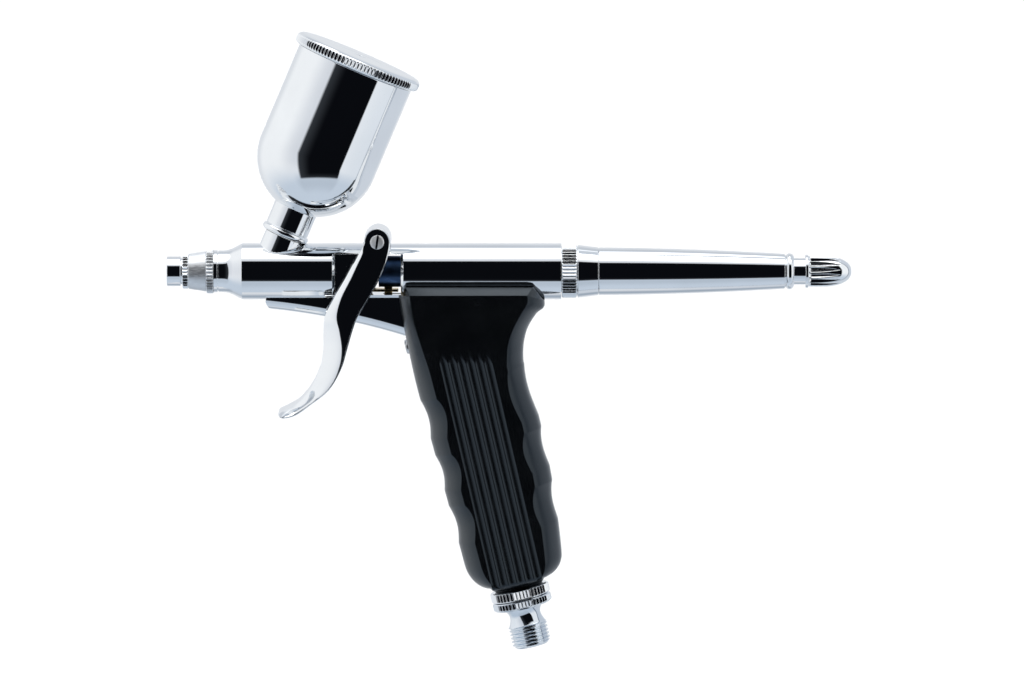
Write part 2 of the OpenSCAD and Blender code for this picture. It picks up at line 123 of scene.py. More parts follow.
BARREL = line((0, 0, 0), (1, 0, 0))
CUP = line(centre("cup_seal"), joint("lid_lift")["axis"])
GRIP = line(mount("air_inlet")["pos_m"], mount("air_inlet")["axis"])
PIVOT = Vector(joint("trigger_pull")["pos_m"])
ACROSS = line(PIVOT, (0, 1, 0))


# ---- Mesh tools ----

def piece(name, vertices, faces, body, slot, material, stands_for=(), along=None, crease=32):
    """A finished mesh piece made in millimetres along a line, riding on a body of the frame."""
    mesh = bpy.data.meshes.new(name)
    mesh.from_pydata([Vector(v) * MM for v in vertices], [], faces)
    obj = bpy.data.objects.new(name, mesh)
    bpy.context.scene.collection.objects.link(obj)
    tidy(mesh, crease)
    if along is not None:
        mesh.transform(along)
    mesh.materials.append(material)
    weighted = obj.modifiers.new("normals", "WEIGHTED_NORMAL")
    weighted.keep_sharp = True
    weighted.weight = 80
    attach(obj, body)
    if stands_for:
        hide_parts(*stands_for)
    return obj


def tidy(mesh, crease):
    """Merges doubled points, turns all faces outwards and creases the sharp edges."""
    work = bmesh.new()
    work.from_mesh(mesh)
    bmesh.ops.remove_doubles(work, verts=work.verts, dist=0.002 * MM)
    bmesh.ops.dissolve_degenerate(work, edges=work.edges, dist=0.0005 * MM)
    bmesh.ops.recalc_face_normals(work, faces=work.faces)
    work.to_mesh(mesh)
    work.free()
    mesh.shade_smooth()
    mesh.set_sharp_from_angle(angle=math.radians(crease))


def corner(before, here, after, fillet, steps=4):
    """A small arc in place of the corner at here, or the corner itself if fillet is 0."""
    p = Vector(here)
    to_a, to_b = Vector(before) - p, Vector(after) - p
    cut = min(fillet, 0.45 * to_a.length, 0.45 * to_b.length)
    if cut < 1e-4:
        return [tuple(p)]
    a, b = p + to_a.normalized() * cut, p + to_b.normalized() * cut
    arc = []
    for i in range(steps + 1):
        t = i / steps
        arc.append(tuple(a * (1 - t) ** 2 + p * 2 * t * (1 - t) + b * t * t))
    return arc


def rounded(profile, closed):
    """Profile of (station, radius, fillet) as plain points, with its corners rounded."""
    points = []
    count = len(profile)
    for i, (s, r, fillet) in enumerate(profile):
        inner = closed or 0 < i < count - 1
        before = profile[i - 1][:2]
        after = profile[(i + 1) % count][:2]
        points += corner(before, (s, r), after, fillet) if inner else [(s, r)]
    return points


def lathe(profile, sides=160, closed=True, cut=None):
    """Turned solid about Z. cut(station, k) gives the largest radius left at side k, or None."""
    rings = rounded(profile, closed)
    vertices, faces = [], []
    for s, r in rings:
        for k in range(sides):
            a = 2 * math.pi * k / sides
            limit = cut(s, k) if cut else None
            q = r if limit is None else min(r, limit)
            vertices.append((q * math.cos(a), q * math.sin(a), s))
    last = len(rings) if closed else len(rings) - 1
    for i in range(last):
        here, there = i * sides, (i + 1) % len(rings) * sides
        for k in range(sides):
            n = (k + 1) % sides
            faces.append((here + k, here + n, there + n, there + k))
    if not closed:
        faces.append(tuple(range(sides)))
        faces.append(tuple(range((len(rings) - 1) * sides, len(rings) * sides)))
    return vertices, faces


TOOTH = (0, 0.33, 0.67, 1, 0.67, 0.33)  # one knurl tooth, from crest to crest
FLANK = 37  # slope of the teeth's flanks in degrees


def knurl(start, end, radius, teeth):
    """Cut for lathe(): straight V teeth between two stations, len(TOOTH) sides to a tooth."""
    depth = math.pi * radius / teeth * math.tan(math.radians(FLANK))

    def cut(s, k):
        if not start <= s <= end:
            return None
        return radius - depth * TOOTH[k % len(TOOTH)]
    return cut


def arc(x0, r0, radius, a0, a1, steps):
    """Profile points on a circle about (x0, r0), from angle a0 to a1 in degrees."""
    points = []
    for i in range(steps + 1):
        a = math.radians(a0 + (a1 - a0) * i / steps)
        points.append((x0 + radius * math.sin(a), r0 + radius * math.cos(a), 0))
    return points


def coil(start, end, radius, wire, turns):
    """Compression spring along Z whose end turns lie flat."""
    around, per_turn = 10, 28
    steps = int(turns * per_turn)
    vertices, faces = [], []
    for i in range(steps + 1):
        turn = i / per_turn
        share = min(max((turn - 0.8) / (turns - 1.6), 0), 1)
        z = start + wire + share * (end - start - 2 * wire)
        a = 2 * math.pi * turn
        for k in range(around):
            b = 2 * math.pi * k / around
            q = radius + wire * math.cos(b)
            vertices.append((q * math.cos(a), q * math.sin(a), z + wire * math.sin(b)))
    for i in range(steps):
        for k in range(around):
            n = (k + 1) % around
            a, b = i * around, (i + 1) * around
            faces.append((a + k, a + n, b + n, b + k))
    faces.append(tuple(range(around)))
    faces.append(tuple(range(steps * around, (steps + 1) * around)))
    return vertices, faces


def spline(points, t):
    """Point at t on a smooth curve through points, where t counts points from 0."""
    last = len(points) - 1
    i = min(max(int(t), 0), last - 1)
    u = t - i
    p0, p1 = points[max(i - 1, 0)], points[i]
    p2, p3 = points[i + 1], points[min(i + 2, last)]
    return tuple(
        0.5 * (2 * b + (c - a) * u + (2 * a - 5 * b + 4 * c - d) * u * u
               + (3 * b - a - 3 * c + d) * u ** 3)
        for a, b, c, d in zip(p0, p1, p2, p3))


# ---- Materials ----

def shader(name):
    material = bpy.data.materials.new(name)
    material.use_nodes = True
    return material, material.node_tree, material.node_tree.nodes["Principled BSDF"]


def noise(tree, scale, detail=3.0, stretch=(1, 1, 1)):
    """Noise in object space. scale is in cycles per metre."""
    coords = tree.nodes.new("ShaderNodeTexCoord")
    mapping = tree.nodes.new("ShaderNodeMapping")
    mapping.inputs["Scale"].default_value = stretch
    texture = tree.nodes.new("ShaderNodeTexNoise")
    texture.inputs["Scale"].default_value = scale
    texture.inputs["Detail"].default_value = detail
    tree.links.new(coords.outputs["Object"], mapping.inputs["Vector"])
    tree.links.new(mapping.outputs["Vector"], texture.inputs["Vector"])
    return texture.outputs["Fac"]


def spread(tree, value, low, high, start=0.3, end=0.7):
    """Carries a noise value from start..end to low..high."""
    node = tree.nodes.new("ShaderNodeMapRange")
    node.inputs["From Min"].default_value = start
    node.inputs["From Max"].default_value = end
    node.inputs["To Min"].default_value = low
    node.inputs["To Max"].default_value = high
    tree.links.new(value, node.inputs["Value"])
    return node.outputs["Result"]


def blend_colours(tree, value, first, second):
    ramp = tree.nodes.new("ShaderNodeValToRGB")
    ramp.color_ramp.elements[0].position = 0.3
    ramp.color_ramp.elements[1].position = 0.7
    ramp.color_ramp.elements[0].color = (*first, 1)
    ramp.color_ramp.elements[1].color = (*second, 1)
    tree.links.new(value, ramp.inputs["Fac"])
    return ramp.outputs["Color"]


def surface(tree, bsdf, heights, edge):
    """Small relief from a list of (height value, depth in mm), over edges softened by edge mm."""
    soft = tree.nodes.new("ShaderNodeBevel")
    soft.samples = 4
    soft.inputs["Radius"].default_value = edge * MM
    normal = soft.outputs["Normal"]
    for value, depth in heights:
        bump = tree.nodes.new("ShaderNodeBump")
        bump.inputs["Strength"].default_value = 1
        bump.inputs["Distance"].default_value = depth * MM
        tree.links.new(value, bump.inputs["Height"])
        tree.links.new(normal, bump.inputs["Normal"])
        normal = bump.outputs["Normal"]
    tree.links.new(normal, bsdf.inputs["Normal"])


def metal(name, light, dark, rough, lines=(1, 1, 1), depth=0.0003, edge=0.12):
    """Metal with slow colour drift, roughness that varies with handling marks and fine relief.
    lines stretches the relief, which turns it into machining or polishing lines."""
    material, tree, bsdf = shader(name)
    bsdf.inputs["Metallic"].default_value = 1
    drift = noise(tree, 90)
    marks = noise(tree, 700, 4, lines)
    tree.links.new(blend_colours(tree, drift, dark, light), bsdf.inputs["Base Color"])
    tree.links.new(spread(tree, marks, rough * 0.75, rough * 1.4), bsdf.inputs["Roughness"])
    surface(tree, bsdf, [(marks, depth)], edge)
    return material


def plastic(name, light, dark, rough, grain, depth, ior=1.5, edge=0.15):
    """Moulded plastic or rubber with a fine grain."""
    material, tree, bsdf = shader(name)
    bsdf.inputs["IOR"].default_value = ior
    fine = noise(tree, grain, 2)
    rubbed = noise(tree, 160, 4)
    tree.links.new(blend_colours(tree, rubbed, dark, light), bsdf.inputs["Base Color"])
    bsdf.inputs["Specular Tint"].default_value = (0.68, 0.85, 1, 1)
    tree.links.new(spread(tree, rubbed, rough * 0.85, rough * 1.15), bsdf.inputs["Roughness"])
    surface(tree, bsdf, [(fine, depth)], edge)
    return material


# metal: name, light and dark colour, roughness, stretch of the relief and its depth in mm.
# plastic: name, light and dark colour, roughness, grain in cycles per metre, its depth in mm, IOR.
CHROME = metal("chrome_plate", (0.9, 0.915, 0.93), (0.86, 0.875, 0.89), 0.035, depth=0.00015)
# Darker, bluer copy of the chrome plate for the air fitting: painted shade, standing in for the grey-blue
# reflections low on the object.
SHADED_FITTING_CHROME = metal("fitting_chrome_painted_shade", (0.78, 0.82, 0.86), (0.7, 0.74, 0.79), 0.06, depth=0.0003)
SATIN_CHROME = metal("satin_chrome", (0.88, 0.89, 0.9), (0.8, 0.81, 0.82), 0.16, (1, 6, 6), 0.0006)
BRUSHED_CHROME = metal("brushed_chrome", (0.86, 0.875, 0.89), (0.82, 0.84, 0.86), 0.44, (1, 6, 6), 0.0002)
STEEL = metal("turned_steel", (0.72, 0.72, 0.72), (0.6, 0.6, 0.61), 0.2, (8, 1, 1), 0.0006)
BRIGHT_STEEL = metal("ground_steel", (0.95, 0.95, 0.95), (0.88, 0.88, 0.88), 0.55, (1, 1, 1), 0.0004)
DARK_STEEL = metal("blued_steel", (0.055, 0.1, 0.2), (0.04, 0.075, 0.15), 0.36, (1, 1, 1), 0.0003)
SPRING = metal("spring_wire", (0.5, 0.5, 0.52), (0.36, 0.36, 0.38), 0.3, (1, 1, 1), 0.0005)
BRASS = metal("machined_brass", (0.83, 0.63, 0.3), (0.72, 0.5, 0.2), 0.2, (8, 1, 1), 0.0006)
BLACK = plastic("moulded_black", (0.004, 0.0045, 0.0055), (0.0025, 0.003, 0.004), 0.24, 5200, 0.0018, 1.52)
WHITE = plastic("ptfe", (0.86, 0.86, 0.84), (0.78, 0.78, 0.76), 0.45, 2600, 0.002, 1.36)
RUBBER = plastic("nitrile_rubber", (0.02, 0.02, 0.021), (0.012, 0.012, 0.013), 0.6, 3500, 0.004)


# ---- Head ----

def needle_cap():
    start, end, radius = reach("needle_cap", BARREL)
    spigot = mount("needle_cap_spigot")["dims"]
    nose, r = spigot["length_mm"], spigot["r_mm"]
    bead = end - 1.5
    profile = [
        (start, r, 0.25), (nose, r, 0.15), (nose + 0.08, r - 0.4, 0.1), (bead, r - 0.4, 0.1),
        (bead, radius - 0.25, 0.1), (bead + 0.22, radius, 0.1), (end - 0.22, radius, 0.1),
        (end, radius - 0.25, 0.1), (end, 2.4, 0), (start + 0.3, 2.4, 0.1), (start, 2.75, 0.1)]
    teeth = 30
    shape = lathe(profile, teeth * len(TOOTH), cut=knurl(bead + 0.1, end - 0.1, radius, teeth))
    piece("needle_guard", *shape, "root", "chromed_head", CHROME, ("needle_cap",), BARREL)


def nozzle_cap():
    start, end, radius = reach("nozzle_cap", BARREL)
    cone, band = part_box("needle_cap")[1].x / MM, end - 1.85
    bore, bore_end = 4.25, 8.75
    profile = [
        (start, 1.1, 0.1), (start, 2.2, 0.2), (cone, 2.3, 0),
        (cone, 4.25, 0.12), (cone + 0.1, 4.36, 0.1),
        (band - 0.15, 5.0, 0.05), (band - 0.1, 4.85, 0.05), (band, 4.85, 0.05),
        (band, radius - 0.3, 0.1), (band + 0.26, radius, 0.1), (end - 0.26, radius, 0.1),
        (end, radius - 0.3, 0.1), (end, bore, 0), (bore_end, bore, 0), (bore_end, 3, 0),
        (start + 1, 0.95, 0), (start + 0.2, 0.78, 0)]
    teeth = 38
    shape = lathe(profile, teeth * len(TOOTH), cut=knurl(band + 0.12, end - 0.12, radius, teeth))
    piece("nozzle_cover", *shape, "root", "chromed_head", BRUSHED_CHROME, ("nozzle_cap",), BARREL)


# ---- Cup ----

def cup():
    start, rim, radius = reach("cup", CUP)
    wall, neck, bore, stem = 0.8, 5.5, 2.4, 3.4
    bead, bead_r = 10.6, 0.85
    belly = 31.2  # station where the round bottom meets the straight side
    meet = math.degrees(math.asin((neck + 0.35) / radius))
    outer = [(start, bore, 0.05), (start, stem, 0.2), (bead - bead_r, stem, 0.1)]
    outer += arc(bead, 5.15, bead_r, -80, 80, 12)
    outer += [(bead + 1.0, neck, 0.25)]
    outer += [(belly - radius * math.cos(math.radians(meet)) - 0.2, neck, 0.5)]
    outer += arc(belly, 0, radius, meet - 90, 0, 40)
    outer += [(rim - 0.01, radius, 0.25)]
    inner = [(rim, radius - wall, 0.25)]
    inner += [(s, r, 0) for s, r, _ in reversed(arc(belly, 0, radius - wall, -80, 0, 32))]
    shape = lathe(outer + inner, 256)
    piece("spun_cup", *shape, "root", "chromed_cup", CHROME, ("cup",), CUP)


def cup_lid():
    start, end, radius = reach("cup_lid", CUP)
    skirt, plug, vent = start + 3, 14.17, 0.75
    profile = [
        (start, plug - 1.1, 0.1), (start, plug, 0.2), (skirt, plug, 0), (skirt, radius - 0.7, 0.2),
        (skirt + 0.55, radius, 0.35), (end - 0.95, radius, 0.5), (end - 0.25, radius - 0.7, 0.4),
        (end, radius - 1.9, 0.4), (end, 6, 0.5), (end - 0.12, 5.4, 0.5), (end - 0.12, 1.7, 0.3),
        (end, 1.4, 0.15), (end, vent, 0.1), (start + 2.7, vent, 0.1), (start + 2.7, plug - 1.2, 0.2)]
    teeth = 104
    shape = lathe(profile, teeth * len(TOOTH), cut=knurl(skirt + 0.25, end - 0.85, radius, teeth))
    piece("knurled_lid", *shape, "lid", "chromed_lid", CHROME, ("cup_lid",), CUP)


# ---- Rear ----

def rear_sleeve():
    start, end, radius = reach("rear_sleeve", BARREL)
    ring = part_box("main_body")[1].x / MM + 0.1
    ring_end, back_r = ring + 3.8, 5.95
    profile = [
        (start, 4, 0), (start, 5.15, 0), (ring, 5.15, 0), (ring, radius - 0.34, 0.1),
        (ring + 0.28, radius, 0.1), (ring_end - 0.28, radius, 0.1), (ring_end, radius - 0.34, 0.08),
        (ring_end + 0.06, radius - 0.32, 0.05), (ring_end + 0.2, radius - 0.32, 0.05),
        (ring_end + 0.26, radius - 0.02, 0.08), (end - 0.1, back_r + 0.02, 0.1), (end, back_r - 0.1, 0.05),
        (end, 4.95, 0), (ring_end - 0.9, 4.95, 0), (ring_end - 0.9, 4, 0)]
    teeth = 46
    shape = lathe(profile, teeth * len(TOOTH), cut=knurl(ring + 0.12, ring_end - 0.12, radius, teeth))
    piece("knurled_sleeve", *shape, "root", "chromed_handle", CHROME, ("rear_sleeve",), BARREL)


def handle():
    start, end, front_r = reach("handle", BARREL)
    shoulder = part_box("rear_sleeve")[1].x / MM + 0.05
    tail, back_r, bead_r = end - 2.3, 4.35, 4.5
    bore, thread_r, thread_end = 3.38, 4, 125
    profile = [(start, thread_r, 0), (start, 4.9, 0), (shoulder, 4.9, 0),
               (shoulder, front_r - 0.12, 0.05)]
    steps = 24
    for i in range(steps + 1):
        t = i / steps
        r = front_r - (front_r - back_r) * (0.25 * t + 0.75 * t * t)
        profile.append((shoulder + 0.12 + (tail - shoulder - 0.17) * t, r, 0))
    profile += [(tail, back_r - 0.12, 0.03), (tail, 4.12, 0.04), (tail + 0.2, 4.12, 0.04)]
    profile += arc(tail + 1.25, bead_r - 1.02, 1.02, -70, 70, 10)
    profile += [(end, 3.8, 0.1), (end, bore, 0), (thread_end, bore, 0), (thread_end, thread_r, 0)]
    shape = lathe(profile, 192)
    piece("tapered_handle", *shape, "root", "chromed_handle", CHROME, ("handle",), BARREL)


def adjuster_knob():
    start, end, flange_r = reach("adjuster_knob", BARREL)
    radius, shank, bore, groove = 3.8, 3.3, 1.28, 2.35
    flange = 159.5
    nose, fullness = flange + 4.2, 2.3
    cut_start, cut_end = flange + 0.85, end - 2.6
    flutes, per = 16, 24

    def skin(s):
        """Radius of the knob before the flutes are cut: straight, then a long round nose."""
        share = max((s - nose) / (end - nose), 0)
        return radius * max(1 - share ** fullness, 0) ** (1 / fullness)

    def flute(s, k):
        """V flutes that grow shallow and narrow towards the end of the nose."""
        share = (s - cut_start) / (cut_end - cut_start)
        if not 0 < share < 1:
            return None
        width = 0.94 * (1 - share ** 2.2)
        beside = abs(k % per - per / 2) / (per / 2)
        depth = 0.78 * (1 - share ** 2) * min(share / 0.06, 1)
        return skin(s) - depth * min(1.15 * max(1 - beside / width, 0), 1)

    profile = [
        (start, bore, 0.05), (start, shank, 0.1), (start + 2.45, shank, 0), (start + 2.45, groove, 0),
        (start + 3.55, groove, 0), (start + 3.55, shank, 0), (flange, shank, 0),
        (flange, flange_r, 0.15), (flange + 0.7, flange_r, 0.15), (flange + 0.75, radius, 0.1)]
    straight, spacing = flange + 0.9, 0.2
    profile += [(straight + i * spacing, radius, 0) for i in range(int((nose - straight) / spacing))]
    for degrees in range(0, 90, 2):
        s = nose + (end - nose) * math.sin(math.radians(degrees))
        profile.append((s, skin(s), 0))
    profile += [(end, 0.01, 0), (flange - 1.5, 0.01, 0), (flange - 1.5, bore, 0)]
    shape = lathe(profile, flutes * per, cut=flute)
    piece("fluted_knob", *shape, "adjuster", "chromed_handle", CHROME, ("adjuster_knob",), BARREL, 70)


# ---- Trigger ----

EAR = 3.3  # radius of the lever's round ear
# Front and rear edge of the lever below its ear, as (x, z) from the pivot.
LEVER = [
    ((-3.3, -0.3), (3.3, -0.4)), ((-3.75, -1.5), (3.1, -1.9)), ((-4.6, -3.0), (2.7, -3.6)),
    ((-6.1, -5.6), (2.0, -5.9)), ((-8.05, -9.2), (0.4, -9.6)), ((-10.75, -13.9), (-2.0, -14.0)),
    ((-13.05, -18.6), (-4.75, -18.6)), ((-13.45, -22.5), (-6.25, -22.6)),
    ((-13.55, -27.0), (-7.5, -27.0)), ((-14.25, -31.3), (-8.95, -31.7)),
    ((-16.45, -36.3), (-12.0, -37.0)), ((-19.45, -40.0), (-16.8, -40.9)),
    ((-22.4, -41.9), (-20.2, -43.3)), ((-24.2, -42.75), (-23.1, -44.1)),
    ((-24.8, -43.15), (-24.2, -43.95))]
# Depth along the lever and across it of the rounding on the front edge, for the same rows.
SOFTNESS = [
    (0.2, 0.2), (0.22, 0.22), (0.9, 0.8), (1.2, 1.0), (1.5, 1.15), (1.9, 1.4), (3.1, 2.1),
    (4.3, 3.0), (4.9, 3.6), (4.7, 3.6), (4.2, 3.3), (2.9, 2.8), (2.1, 2.3), (1.3, 2.1), (0.5, 2.1)]

WEB_SHARES = (0.66, 0.33, 0, -0.33, -0.66)  # points across the web, as shares of its half-width


def trigger_rows():
    """Rows of (front point, rear point, softness) from the top of the ear to the hook's tip."""
    rows = []
    for degrees in (6, 16, 28, 42, 56, 70, 82):
        a = math.radians(degrees)
        x, z = EAR * math.sin(a), EAR * math.cos(a)
        rows.append(((-x, z), (x, z), SOFTNESS[0]))
    steps = 5
    fronts, backs = [r[0] for r in LEVER], [r[1] for r in LEVER]
    for i in range((len(LEVER) - 1) * steps + 1):
        t = i / steps
        rows.append((spline(fronts, t), spline(backs, t), spline(SOFTNESS, t)))
    return rows


def trigger_section(length, soft, inner, outer, wall, web):
    """Half-section of an arm as (distance from the front edge, y), from the inner front corner
    round the outside to the rear and back along the inner face, which starts at wall."""
    deep = min(soft[0], length - 0.45)
    wide_rounding = web or soft[0] > 2
    across = soft[1] if wide_rounding else min(soft[1], outer - inner - 0.1)
    points = []
    steps = 9
    for i in range(steps + 1):
        t = 1 - i / steps
        points.append((deep * (1 - t) + 0.04, outer - across * t ** 1.25))
    rear = min(0.3, 0.3 * length)
    points += [(length - rear, outer), (length - 0.08, outer - rear * 0.8)]
    points += [(length, outer - rear - 0.15)]
    points += [(length, inner + 0.1), (length - 0.1, inner)]
    points += [(min(wall, length - 0.2), inner)]
    return points


def trigger_rings(inner, outer):
    """Vertices of the lever, and for each row a ring that names them: (side, k) round each arm,
    and ("front", k) and ("back", k) across the web that joins the arms below the barrel."""
    web_from = 24.0
    vertices, rings = [], []
    for front, rear, soft in trigger_rows():
        f, r = Vector((front[0], 0, front[1])), Vector((rear[0], 0, rear[1]))
        length = max((r - f).length, 0.02)
        along = (r - f) / length
        wall = max(2.2, 0.74 * min(soft[0], length))
        web = f.length > web_from
        section = trigger_section(length, soft, inner, outer, wall, web)
        edge = min(inner, section[0][1]) - 0.05
        section = [(0, edge)] + section
        ring = {"web": web, "count": len(section)}
        for side in (1, -1):
            for k, (u, y) in enumerate(section):
                p = f + along * min(u, length)
                ring[side, k] = len(vertices)
                vertices.append((p.x, side * y, p.z))
        back = f + along * min(wall, length - 0.2 if length > 0.5 else length * 0.6)
        for k, share in enumerate(WEB_SHARES):
            ring["front", k] = len(vertices)
            vertices.append((f.x, share * edge, f.z))
            ring["back", k] = len(vertices)
            vertices.append((back.x, share * inner, back.z))
        rings.append(ring)
    return vertices, rings


def web_path(ring, name, k):
    """The web's front or back across one row, from arm to arm; k is where it meets the arms."""
    return [ring[1, k]] + [ring[name, j] for j in range(len(WEB_SHARES))] + [ring[-1, k]]


def strip(faces, one, two):
    """Quads between two paths of the same length."""
    for a, b, c, d in zip(one, one[1:], two[1:], two):
        faces.append((a, b, c, d))


def trigger():
    thickness = 1.6
    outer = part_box("trigger")[1].y / MM
    inner = outer - thickness
    vertices, rings = trigger_rings(inner, outer)
    last = rings[0]["count"] - 1
    faces = []
    for here, there in zip(rings, rings[1:]):
        for side in (1, -1):
            path = [(side, k) for k in range(last + 1)]
            strip(faces, [here[k] for k in path], [there[k] for k in path])
            if not here["web"]:
                strip(faces, [here[side, last], here[side, 0]], [there[side, last], there[side, 0]])
        if here["web"]:
            strip(faces, web_path(here, "front", 0), web_path(there, "front", 0))
            strip(faces, web_path(here, "back", last), web_path(there, "back", last))
        elif there["web"]:
            strip(faces, web_path(there, "front", 0), web_path(there, "back", last))
    top, tip = rings[0], rings[-1]
    strip(faces, web_path(tip, "front", 0), web_path(tip, "back", last))
    for end in (top, tip):
        for side in (1, -1):
            faces.append(tuple(end[side, k] for k in range(last + 1)))
    piece("pull_lever", vertices, faces, "trigger", "chromed_trigger", CHROME, ("trigger",),
          Matrix.Translation(PIVOT), 38)
    bosses(inner)


def bosses(inner):
    """The two short pins inside the arms that push the drive sleeve back."""
    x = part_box("drive_sleeve")[0].x / MM - 1.25
    r, chamfer = 1.2, 0.15
    start, end = 1.2, inner + 0.1
    for side, name in ((1, "far"), (-1, "near")):
        profile = [
            (start, 0.01, 0), (start, r - chamfer, 0), (start + chamfer, r, 0), (end, r, 0),
            (end, 0.01, 0)]
        along = line((x * MM, 0, 0), (0, side, 0))
        piece("push_boss_" + name, *lathe(profile, 48), "trigger", "chromed_trigger", STEEL, (), along)


def pivot_screw():
    """The slotted pivot screw, its head towards the viewer, and its slotted nut."""
    low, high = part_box("pivot_screw")
    head, seat, tip = -low.y / MM, 8.95, -high.y / MM
    r, shank, crown = 1.75, 1.2, 0.35
    dome = [(seat, r, 0.1), (head - crown, r, 0.1)]
    steps = 7
    for i in range(1, steps + 1):
        a = math.radians(90 * i / steps)
        dome.append((head - crown + crown * math.sin(a), 0.02 + (r - 0.02) * math.cos(a) ** 0.8, 0))
    profile = [(tip, 0.01, 0), (tip, shank - 0.2, 0), (tip + 0.2, shank, 0), (seat, shank, 0)] + dome
    toward_eye = line(PIVOT, (0, -1, 0))
    screw = piece("slotted_screw", *lathe(profile, 72, closed=False), "root", "steel", BRIGHT_STEEL,
                  ("pivot_screw",), toward_eye)
    slot_width, slot_depth = 0.62, 0.7
    cut_box(screw, Vector((PIVOT.x, low.y, PIVOT.z)), (slot_width, 2 * slot_depth, 5), 8, 32)
    polish_slot(screw, low.y + slot_depth * MM)
    bore, outside = 1.26, 9.7
    nut = [
        (seat, bore, 0), (seat, 2.05, 0.1), (9.1, 2.2, 0.1), (9.5, 2.2, 0.2), (outside, 1.9, 0.15),
        (outside, bore, 0.1)]
    nut_piece = piece("slotted_nut", *lathe(nut, 72), "root", "steel", BRIGHT_STEEL, ("pivot_nut",), ACROSS)
    cut_box(nut_piece, Vector((PIVOT.x, outside * MM, PIVOT.z)), (0.5, 0.6, 6), 35, 32)


def cut_box(obj, place, size, degrees, crease):
    """Cuts a box of size millimetres, turned about Y, out of a piece: a screw's slot or a notch."""
    bpy.ops.mesh.primitive_cube_add(size=1)
    tool = bpy.context.object
    tool.data.materials.append(obj.data.materials[0])
    tool.scale = [s * MM for s in size]
    tool.rotation_euler = (0, math.radians(degrees), 0)
    tool.location = place
    cut = obj.modifiers.new("cut", "BOOLEAN")
    cut.operation, cut.solver, cut.object = "DIFFERENCE", "EXACT", tool
    obj.modifiers.move(len(obj.modifiers) - 1, 0)
    bpy.context.view_layer.objects.active = obj
    bpy.ops.object.modifier_apply(modifier="cut")
    bpy.data.objects.remove(tool)
    obj.data.set_sharp_from_angle(angle=math.radians(crease))


def polish_slot(obj, floor_y):
    """Gives the floor of a screw's slot, at floor_y metres, a polished finish, which looks dark."""
    obj.data.materials.append(CHROME)
    for face in obj.data.polygons:
        if abs(face.center.y - floor_y) < 0.06 * MM:
            face.material_index = 1


# ---- Springs ----

def springs():
    """Both return springs, each riding on a body of the frame with a mesh of its own."""
    low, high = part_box("needle_spring")
    shape = coil(low.x / MM, high.x / MM, 3.05, 0.35, 8)
    long_spring = piece("return_spring", *shape, "needle_drive", "spring_steel", SPRING,
                        ("needle_spring",), BARREL)
    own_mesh(long_spring)
    low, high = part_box("valve_spring")
    middle = centre("valve_stem")
    along = BARREL.copy()
    along.translation = (0, 0, middle.z)
    shape = coil(low.x / MM, high.x / MM, 1.5, 0.25, 6)
    short_spring = piece("air_valve_spring", *shape, "air_valve", "spring_steel", SPRING,
                         ("valve_spring",), along)
    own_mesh(short_spring)


# ---- Grip ----
# The grip is lofted in its own plane: t runs across the grip's axis towards the handle and s
# runs down it. Each row spans from the front edge to the rear edge.

# Above the finger scoops: front edge, front and rear limits of the flat side, rear edge.
SHOULDER = [
    ((-12.85, 3.1), (-9.8, 3.1), (18.76, 9.65), (22.6, 12.3)),
    ((-13.0, 5.6), (-10.05, 5.6), (18.3, 11.6), (22.05, 14.1)),
    ((-13.2, 9.4), (-10.25, 9.4), (15.95, 14.1), (19.85, 15.25)),
    ((-13.35, 14.0), (-10.0, 14.0), (13.15, 17.5), (17.1, 18.0)),
    ((-13.42, 18.6), (-9.6, 18.6), (11.2, 20.9), (15.45, 20.9)),
    ((-13.48, 22.6), (-9.25, 22.6), (10.3, 23.9), (14.45, 23.9)),
    ((-13.48, 26.0), (-9.15, 26.0), (9.7, 26.2), (14.0, 26.2))]
FRONT_SCOOPS = ((29.9, 39.9), (44.2, 53.4), (57.4, 67.1))
REAR_SCOOPS = ((27.0, 40.4), (43.2, 53.4), (56.9, 67.0))
GRIP_HALF = 10.5
RIBS, RIB_PITCH, RIB_DEPTH = 6, 2.17, 0.42
RIB_TOP = -18.9  # height of the ribs' pointed tops


def scoop(s, places, depth, early):
    """Depth of the finger scoop at station s, deepest at the share early of its length."""
    for a, b in places:
        if a < s < b:
            u = (s - a) / (b - a)
            power = math.log(0.5) / math.log(early)
            return depth * math.sin(math.pi * u ** power)
    return 0.0


def grip_edges(s):
    """Front edge, flat side's two limits and rear edge at station s below the shoulder."""
    front = -13.48 + 0.0333 * (s - 26) + scoop(s, FRONT_SCOOPS, 0.8, 0.5)
    rear = 14.65 - 0.0022 * (s - 44) ** 2 - scoop(s, REAR_SCOOPS, 0.75, 0.45)
    flat_front = -9.15 + 0.03 * (s - 26) + scoop(s, FRONT_SCOOPS, 1.25, 0.42)
    flat_rear = 10.3 - 0.0019 * (s - 42) ** 2 - scoop(s, REAR_SCOOPS, 1.2, 0.45)
    return front, flat_front, flat_rear, rear


def foot_rounding(s, end, radius):
    """How far a quarter circle of this radius at the grip's end draws in at station s."""
    past = max(s - end + radius, 0)
    return radius - math.sqrt(max(radius ** 2 - past ** 2, 0))


